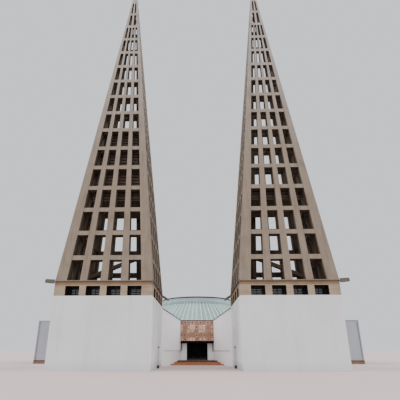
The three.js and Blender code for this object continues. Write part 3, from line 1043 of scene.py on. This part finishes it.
def reliefTile(bm, cell, face, motif, layer):
    # one tile in one of three layers, with one of four motifs
    shape = reliefShape
    left, right, bottom, top = cell
    share, paint, other = shape["layers"][layer]
    front = face - shape["proud"] * share
    bar(bm, (left, front, bottom), (right, face + shape["root"], top), shape["soft"], paint)
    width, height = right - left, top - bottom
    middle = Vector(((left + right) / 2, front, (bottom + top) / 2))
    if motif == 0:
        reliefSteps(bm, middle, width, height, (other, paint))
    elif motif == 1:
        reliefBoss(bm, middle, min(width, height), other)
    elif motif == 2:
        reliefRibs(bm, middle, width, height, other)
    else:
        reliefLozenge(bm, middle, min(width, height), other)


def reliefSteps(bm, middle, width, height, paints):
    # a large flat step with a small one on it
    for share, paint in zip(reliefShape["steps"], paints):
        reach = Vector((width * share / 2, reliefShape["stepProud"] / share, height * share / 2))
        bar(bm, middle - reach, middle + reach, crisp, paint)


def reliefBoss(bm, middle, size, paint):
    # a flattened ball
    matrix = Matrix.Translation(middle) @ Matrix.Diagonal((1, reliefShape["bossDepth"], 1, 1))
    made = bmesh.ops.create_uvsphere(
        bm, u_segments=16, v_segments=8, radius=size * reliefShape["boss"], matrix=matrix)
    for face in {face for vert in made["verts"] for face in vert.link_faces}:
        face.material_index = paint


def reliefRibs(bm, middle, width, height, paint):
    # upright ribs side by side
    thin, tall = reliefShape["rib"]
    count = reliefShape["ribs"]
    reach = Vector((width * thin, reliefShape["ribProud"], height * tall))
    for i in range(count):
        spot = Vector((middle.x - width / 2 + width * (i + 0.5) / count, middle.y, middle.z))
        bar(bm, spot - reach, spot + reach, crisp, paint)


def reliefLozenge(bm, middle, size, paint):
    # a square that stands on its corner
    half = size * reliefShape["lozenge"]
    low = (-half, -reliefShape["root"], -half)
    verts = bar(bm, low, (half, reliefShape["lozengeProud"], half), crisp, paint)
    turn = Matrix.Translation(middle) @ Matrix.Rotation(math.pi / 4, 4, "Y")
    bmesh.ops.transform(bm, verts=verts, matrix=turn)


portalShape = {
    "soft": 0.005,
    "frame": 0.08 * metre,
    "frameDepth": 0.1 * metre,
    "clear": 0.008,
    "sill": 0.008,
    "flashing": 0.1 * metre,
    "sheet": 0.02 * metre,
    "boards": 12,
    "boardInset": 0.002,
    "boardReach": 0.5,
    "stripWidth": 0.1 * metre,
    "stripInset": 0.13 * metre,
    "stripProud": 0.006,
}


def jambStrip(label, side):
    # a narrow dark strip at the jamb's outer edge, from the wall's line of moulding up
    shape = portalShape
    low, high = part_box(f"door_jamb_{label}")
    outer = max(abs(low.x), abs(high.x)) - shape["stripInset"]
    xs, ys = (outer - shape["stripWidth"], outer), (low.y - shape["stripProud"], low.y + crisp)
    bm = bmesh.new()
    sideBar(bm, side, xs, ys, (diagonalShape["lineZ"], high.z))
    place(f"jambStrip_{label}", bm, ["brownMetal"])


def portal():
    # the jambs and the lintel, and the frame and threshold of the door between them
    shape = portalShape
    for label, side in sides:
        # the jambs and the lintel in a paler copy of the plaster, as painted light in the niche
        softened(f"doorJamb_{label}", f"door_jamb_{label}", shape["soft"], "litNichePlaster")
        jambStrip(label, side)
    softened("portalLintel", "portal_lintel", shape["soft"], "litNichePlaster")

    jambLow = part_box("door_jamb_right")[0]
    floor, head, half = jambLow.z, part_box("portal_lintel")[0].z, jambLow.x
    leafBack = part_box("door_leaf_right")[1].y - leafShape["backInset"]
    back = leafBack - leafShape["thickness"] - shape["clear"]
    front = back - shape["frameDepth"]
    bm = bmesh.new()
    for _, side in sides:
        sideBar(bm, side, (half - shape["frame"], half), (front, back), (floor, head), fine)
    bar(bm, (-half, front, head - shape["frame"]), (half, back, head), fine)
    place("doorFrame", bm, ["blackBoards"])
    soffit()
    flashing()
    bm = bmesh.new()
    bar(bm, (-half, jambLow.y, floor), (half, back, floor + shape["sill"]), fine)
    place("threshold", bm, ["greyStone"])


def soffit():
    # dark boards under the lintel and on its face below the relief, near black as painted shade
    shape = portalShape
    low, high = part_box("portal_lintel")
    sheet, inset = shape["sheet"], shape["boardInset"]
    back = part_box("door_jamb_right")[0].y + shape["boardReach"]
    left, right = low.x + inset, high.x - inset
    step = (right - left) / shape["boards"]
    bm = bmesh.new()
    bar(bm, (left, low.y - sheet, low.z), (right, low.y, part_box("relief_panel")[0].z), fine)
    for i in range(shape["boards"]):
        x = left + i * step
        bar(bm, (x, low.y - sheet, low.z - sheet), (x + step - 2 * inset, back, low.z), crisp)
    place("portalSoffit", bm, ["soffitShadeBoards"])


def flashing():
    # a dark cover over the relief and the lintel
    low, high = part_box("relief_panel")
    front, back = low.y - portalShape["sheet"] - reliefShape["proud"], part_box("portal_lintel")[1].y
    bm = bmesh.new()
    bar(bm, (low.x, front, high.z), (high.x, back, high.z + portalShape["flashing"]), fine)
    place("portalFlashing", bm, ["brownMetal"])


leafShape = {
    "boards": 6,
    "boardSetBack": 0.008,
    "groove": 0.004,
    "rail": 0.16 * metre,
    "railProud": 0.01,
    "kick": 0.3 * metre,
    "kickSheet": 0.002,
    "kickInset": 0.01,
    "thickness": 0.045,
    "backInset": 0.005,
    "clear": 0.006,
    "hingeRadius": 0.005,
    "hingeInset": 0.006,
    "pullAt": 0.2 * metre,
    "pullSize": 0.05 * metre,
    "pullHeight": 1.1 * metre,
    "pullStandoff": 0.04 * metre,
}


def leafBoards(bm, side, xs, ys, zs):
    # upright boards between three rails on each face, and a kick plate
    shape = leafShape
    (meet, edge), (front, back), (floor, head) = xs, ys, zs
    proud, rail, inset, middle = shape["railProud"], shape["rail"], shape["kickInset"], (floor + head) / 2
    step, setBack = (edge - meet) / shape["boards"], shape["boardSetBack"]
    for i in range(shape["boards"]):
        near = meet + i * step
        far = edge if i == shape["boards"] - 1 else near + step - shape["groove"]
        sideBar(bm, side, (near, far), (front + setBack, back - setBack), zs)
    for rails in ((floor, floor + rail), (middle - rail / 3, middle + rail / 3), (head - rail, head)):
        sideBar(bm, side, xs, (front, front + proud), rails)
        sideBar(bm, side, xs, (back - proud, back), rails)
    plate, height = (meet + inset, edge - inset), (floor + inset, floor + shape["kick"])
    sideBar(bm, side, plate, (front - shape["kickSheet"], front), height, 0, 1)


def pullBar(bm, side, front, middle):
    # an upright bar on two brackets
    shape = leafShape
    near, size = shape["pullAt"], shape["pullSize"]
    back = front - shape["pullStandoff"]
    low, high = middle - shape["pullHeight"] / 2, middle + shape["pullHeight"] / 2
    sideBar(bm, side, (near, near + size), (back - size, back), (low, high), size / 3, 1)
    bracket = near + size / 4
    for z in (low + size, high - 2 * size):
        sideBar(bm, side, (bracket, bracket + size / 2), (back - crisp, front + crisp), (z, z + size), 0, 1)


def doorLeaf(label, side):
    # the boards and the pull bar, with the strap and the post that turn at the jamb
    shape = leafShape
    node = f"door_leaf_{label}"
    low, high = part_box(node)
    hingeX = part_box("door_jamb_right")[0].x - shape["hingeInset"]
    radius = shape["hingeRadius"]
    meet = min(abs(low.x), abs(high.x))
    back = high.y - shape["backInset"]
    front = back - shape["thickness"]
    zs = (low.z + shape["clear"], high.z - shape["clear"])
    bm = bmesh.new()
    leafBoards(bm, side, (meet, hingeX - radius), (front, back), zs)
    pullBar(bm, side, front, (zs[0] + zs[1]) / 2)
    sideBar(bm, side, (hingeX - 2 * radius, hingeX), (back - radius, back), zs, 0, 1)
    spot = Vector((side * hingeX, back, 0))
    turned(bm, spot, [(0, low.z), (radius, low.z), (radius, high.z), (0, high.z)], 20)
    place(f"doorLeaf_{label}", bm, ["blackBoards", "blackMetal"], [node], f"door_{label}")


# Copper roof

coneShape = {
    "seams": 72,
    "sheet": 0.05,
    "ribWidth": 0.13 * metre,
    "ribHeight": 0.06 * metre,
    "ribSoft": 0.004,
    "rimInset": 0.15 * metre,
    "gutterOut": 0.05 * metre,
    "gutterIn": 0.1 * metre,
    "gutterLow": 0.01,
    "gutterHigh": 0.11,
}


def onRing(centre, radius, angle, z):
    return Vector((centre.x + radius * math.sin(angle), centre.y + radius * math.cos(angle), z))


def ring(name, centre, profile, paints, standsFor=()):
    # a closed section turned into a round piece of many flat lengths
    bm = bmesh.new()
    turned(bm, centre, profile, 2 * coneShape["seams"], True)
    place(name, bm, paints, standsFor)


def copperRoof():
    shape = coneShape
    low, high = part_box("roof_cone")
    centre = (low + high) / 2
    crownLow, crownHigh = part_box("roof_crown")
    eave = (high.x - low.x) / 2
    rim = (crownHigh.x - crownLow.x) / 2 - shape["rimInset"]
    sheet = shape["sheet"]
    ring("roofCone", centre, [(eave, low.z), (rim, high.z), (rim - sheet, high.z), (eave - sheet, low.z)],
         ["greenCopper"], standsFor=["roof_cone"])
    bm = bmesh.new()
    for i in range(shape["seams"]):
        angle = 2 * math.pi * i / shape["seams"]
        barAlong(
            bm, onRing(centre, eave, angle, low.z), onRing(centre, rim, angle, high.z),
            shape["ribWidth"], shape["ribHeight"], shape["ribSoft"])
    place("roofSeams", bm, ["paleCopper"])
    out, inner = eave + shape["gutterOut"], eave - shape["gutterIn"]
    bottom, top = low.z + shape["gutterLow"], low.z + shape["gutterHigh"]
    # the eave gutter in a near-white copy of the copper, as painted light on the eave
    ring("roofGutter", centre, [(inner, bottom), (out, bottom), (out, top), (inner, top)], ["litEaveCopper"])


crownShape = {
    "joints": (4.40, 4.47, 4.62),  # heights of the grooves round the fascia
    "groove": 0.045,
    "grooveDepth": 0.03,
    "wall": 0.3 * metre,
    "ledge": 0.2,
    "coping": 0.07,
    "copingTop": 0.015,
    "overhang": 0.03,
    "capRise": 0.35,
    "capRibs": 24,
    "capRib": 0.03,
    "capRibEnd": (0.1, 0.02),  # how far from the axis and below the top the ribs end
    "clear": 0.004,
}


def crown():
    # the round fascia with its joints, its coping and the cap inside it
    shape = crownShape
    low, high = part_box("roof_crown")
    centre = (low + high) / 2
    radius = (high.x - low.x) / 2
    wall, depth, half = shape["wall"], shape["grooveDepth"], shape["groove"] / 2
    face = [(radius, low.z)]
    for z in shape["joints"]:
        face += [(radius, z - half), (radius - depth, z - half)]
        face += [(radius - depth, z + half), (radius, z + half)]
    inside, ledge = radius - wall, radius - 2 * wall
    face += [(radius, high.z), (inside, high.z), (inside, low.z + shape["ledge"])]
    face += [(ledge, low.z + shape["ledge"]), (ledge, low.z)]
    ring("roofCrown", centre, face, ["crownCopper"], standsFor=["roof_crown"])
    out, inner, gap = radius + shape["overhang"], inside - shape["overhang"], shape["clear"]
    bottom, top = high.z - shape["coping"], high.z + shape["copingTop"]
    ring("crownCoping", centre, [
        (out, bottom), (out, top), (inner, top), (inner, bottom + gap), (inside - gap, bottom + gap),
        (inside - gap, high.z + gap), (radius + gap, high.z + gap), (radius + gap, bottom)],
        ["darkMetal"])
    roofCap(centre)


def roofCap(centre):
    # the shallow ribbed cone inside the crown
    shape = crownShape
    low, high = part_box("roof_cap")
    radius, eave, (endRadius, drop) = (high.x - low.x) / 2, high.z - shape["capRise"], shape["capRibEnd"]
    count, rib = shape["capRibs"], shape["capRib"]
    bm = bmesh.new()
    turned(bm, centre, [(0, low.z), (radius, low.z), (radius, eave), (0, high.z)], 2 * count)
    for i in range(count):
        angle = 2 * math.pi * i / count
        end = onRing(centre, endRadius, angle, high.z - drop)
        barAlong(bm, onRing(centre, radius, angle, eave), end, rib, rib)
    place("roofCap", bm, ["greenCopper"], ["roof_cap"])


# Posts

postShape = {
    "foot": 0.062,
    "footTop": 0.15,
    "chamfer": 0.01,
    "pole": 0.026,
    "knob": 0.055,
    "neck": 1.2,  # how far the pole ends below the knob's middle, in radii of the knob
    "knobArc": (-60, 90),  # degrees above the level, from the pole to the top
    "knobSteps": 8,
}


def cornerPost(label):
    # a slim pole on a dark foot, with a round knob
    shape = postShape
    node = f"corner_post_{label}"
    low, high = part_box(node)
    foot, footTop, pole, knob = shape["foot"], shape["footTop"], shape["pole"], shape["knob"]
    middle, cut = high.z - knob, shape["chamfer"]
    points = [(0, 0), (foot, 0), (foot, footTop - cut), (foot - cut, footTop), (pole, footTop)]
    points.append((pole, middle - knob * shape["neck"]))
    arcStart, arcEnd = shape["knobArc"]
    for i in range(shape["knobSteps"] + 1):
        angle = math.radians(arcStart + (arcEnd - arcStart) * i / shape["knobSteps"])
        points.append((max(knob * math.cos(angle), 0), middle + knob * math.sin(angle)))
    bm = bmesh.new()
    turned(bm, (low + high) / 2, points, 32)
    for face in bm.faces:
        z = face.calc_center_median().z
        face.material_index = 0 if footTop < z < middle - knob else 1 if z < footTop else 2
    place(f"cornerPost_{label}", bm, ["paleSteel", "darkMetal", "greySteel"], [node])


print("materials")
finishes = {
    plaster: {
        # the third tone of whitePlaster and greySkirting is painted light on faces turned along X
        "whitePlaster": ((206, 206, 208), (188, 187, 189), (243, 243, 243)),
        # the next two are paler copies of the white plaster, painted light on the diagonal walls and in the
        # portal's niche
        "litDiagonalPlaster": ((251, 249, 250), (240, 238, 239)),
        "litNichePlaster": ((244, 240, 242), (228, 224, 227)),
        "dullPlaster": ((163, 165, 172), (147, 149, 156)),
        "greySkirting": ((203, 203, 207), (184, 185, 190), (234, 234, 236)),
        # the moulding's grey is a painted shadow line
        "shadowLineGrey": ((140, 134, 132), (124, 118, 116)),
        "greyStone": ((190, 178, 164), (160, 150, 138)),
    },
    concrete: {  # the last value is false where it isn't on the hollow spire
        # the third tone darkens stains and joints, and on the hollow spire it is also painted shade on the
        # inner faces and in the openings
        "latticeConcrete": ((130, 117, 103), (164, 157, 151), (58, 43, 31)),
        "beamConcrete": ((134, 121, 107), (164, 157, 151), (58, 43, 31)),
        "edgeConcrete": ((92, 76, 62), (90, 76, 62), (54, 45, 36), False),
        "spoutConcrete": ((96, 95, 86), (92, 90, 82), (52, 50, 44), False),
        "shadedConcrete": ((104, 88, 74), (88, 76, 64), (56, 46, 38), False),
    },
    # the last tone is painted shade in the window reveals
    bandConcrete: {"bandPaint": ((131, 107, 84), (157, 141, 121), (88, 70, 54), (34, 27, 22))},
    patina: {
        "greenCopper": ((122, 154, 150), (186, 208, 204)),
        "crownCopper": ((174, 195, 198), (200, 213, 217)),
    },
    reliefCopper: {
        "copperLight": ((254, 226, 206), (206, 162, 138)),
        "copperMid": ((214, 174, 151), (160, 117, 97)),
        "copperDark": ((140, 100, 82), (96, 66, 54)),
    },
    tiles: {
        "terracottaTiles": ((178, 120, 88), (146, 92, 64), (134, 104, 88)),
        "dullTerracotta": ((140, 102, 82), (116, 84, 68), (110, 96, 88)),
    },
    metalCoat: {  # two tones, and where they aren't the usual ones roughness and metallic
        "paleCopper": ((212, 228, 222), (186, 206, 199), 0.6, 0.0),
        # near white as painted light on the eave gutter
        "litEaveCopper": ((246, 250, 249), (226, 234, 232), 0.7, 0.0),
        "darkMetal": ((48, 50, 54), (66, 66, 68)),
        "blackMetal": ((12, 12, 13), (22, 22, 23), 0.4, 0.2),
        "brownMetal": ((48, 30, 20), (60, 42, 30), 0.6, 0.1),
        "dullCoping": ((160, 162, 168), (146, 148, 154), 0.6, 0.1),
        # near black as painted shade in the spouts' channels and mouths
        "spoutShadeDark": ((46, 46, 44), (60, 58, 54), 0.5, 0.2),
        "louvreMetal": ((50, 50, 54), (38, 38, 40), 0.6, 0.2),
        "greySteel": ((132, 136, 144), (116, 120, 128), 0.5, 0.1),
        "paleSteel": ((188, 188, 190), (170, 171, 174), 0.5, 0.1),
    },
    doorPaint: {
        "blackBoards": ((2, 2, 2), (7, 7, 7)),
        # near-black boards as painted shade under the lintel
        "soffitShadeBoards": ((20, 12, 10), (32, 22, 19)),
    },
    windowGlass: {"darkGlass": ((30, 31, 35), (46, 46, 50))},
    mineralFelt: {"roofFelt": ((150, 149, 146), (112, 110, 108))},
}
materials = {name: make(name, *tones) for make, group in finishes.items() for name, tones in group.items()}

print("towers")
for label, side in sides:
    towerBlock(label)
    band = f"tower_window_band_{label}"
    softened(f"windowBand_{label}", band, bandShape["soft"], "bandPaint")
    bandWindows(label)
    repaint(f"tower_window_glass_{label}", "darkGlass")
    deck(label, side)
    spire(label)
    brace(label, side)
    belfry(label)

print("hall and portal")
hallWalls()
for label, side in sides:
    downpipe(label, side)
    diagonalWall(label, side)
    doorLeaf(label, side)
    cornerPost(label)
softened("entranceSteps", "entrance_steps", blunt, "terracottaTiles")
softened("podiumBase", "podium", blunt, "dullTerracotta")
portal()
reliefPanel()
repaint("hall_roof", "roofFelt")

print("copper roof")
copperRoof()
crown()

# Camera, floor and light

view = {
    "beforeFront": 17.8605,  # how far the camera stands before the tower's front
    "acrossAndUp": (0.0875, 0.85),
    "pitch": 21.23,  # degrees
    "turn": 1.5,
    "lens": 33.31,  # millimetres, as the sensor
    "sensor": 36,
    "shift": (0.03, 0.0175),
    "farthest": 2000,
}


def camera():
    # stands before the towers, a little right of the middle, and looks up
    data = bpy.data.cameras.new("camera")
    data.lens = view["lens"]
    data.sensor_width = view["sensor"]
    data.shift_x, data.shift_y = view["shift"]
    data.clip_end = view["farthest"]
    eye = bpy.data.objects.new("camera", data)
    across, up = view["acrossAndUp"]
    eye.location = (across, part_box("tower_front_wall_left")[0].y - view["beforeFront"], up)
    eye.rotation_euler = (math.radians(90 + view["pitch"]), 0, math.radians(view["turn"]))
    bpy.context.scene.collection.objects.link(eye)
    bpy.context.scene.camera = eye


studio = {
    "floorSize": 900,
    "floorBelow": 0.002,
    "floorTones": ((204, 189, 184), (196, 181, 176)),
    "world": (0.82, 0.85, 0.9, 1),
    "worldStrength": 1.1,
    "suns": (  # name, turn in degrees, strength
        ("frontLight", (66, 0, 0), 1.35),
        ("leftLight", (48, 0, -80), 1.9),
        ("rightLight", (48, 0, 80), 1.8),
    ),
    "sunAngle": 60,
}


def stage():
    # a plain pale floor, an even sky and three soft lights
    bm = bmesh.new()
    bmesh.ops.create_grid(bm, x_segments=1, y_segments=1, size=studio["floorSize"])
    mesh = bpy.data.meshes.new("floor")
    bm.to_mesh(mesh)
    bm.free()
    floor = bpy.data.objects.new("floor", mesh)
    floor.location.z = -studio["floorBelow"]
    paint = Paint("paleFloor", roughness=0.9)
    mesh.materials.append(paint.finish(paint.mix(paint.noise(0.3), *studio["floorTones"])))
    bpy.context.scene.collection.objects.link(floor)

    world = bpy.data.worlds.new("studio")
    world.use_nodes = True
    background = world.node_tree.nodes["Background"]
    background.inputs["Color"].default_value = studio["world"]
    background.inputs["Strength"].default_value = studio["worldStrength"]
    bpy.context.scene.world = world

    for name, turn, strength in studio["suns"]:
        light = bpy.data.lights.new(name, "SUN")
        light.energy = strength
        light.angle = math.radians(studio["sunAngle"])
        lamp = bpy.data.objects.new(name, light)
        lamp.rotation_euler = [math.radians(value) for value in turn]
        bpy.context.scene.collection.objects.link(lamp)


print("camera and light")
camera()
stage()
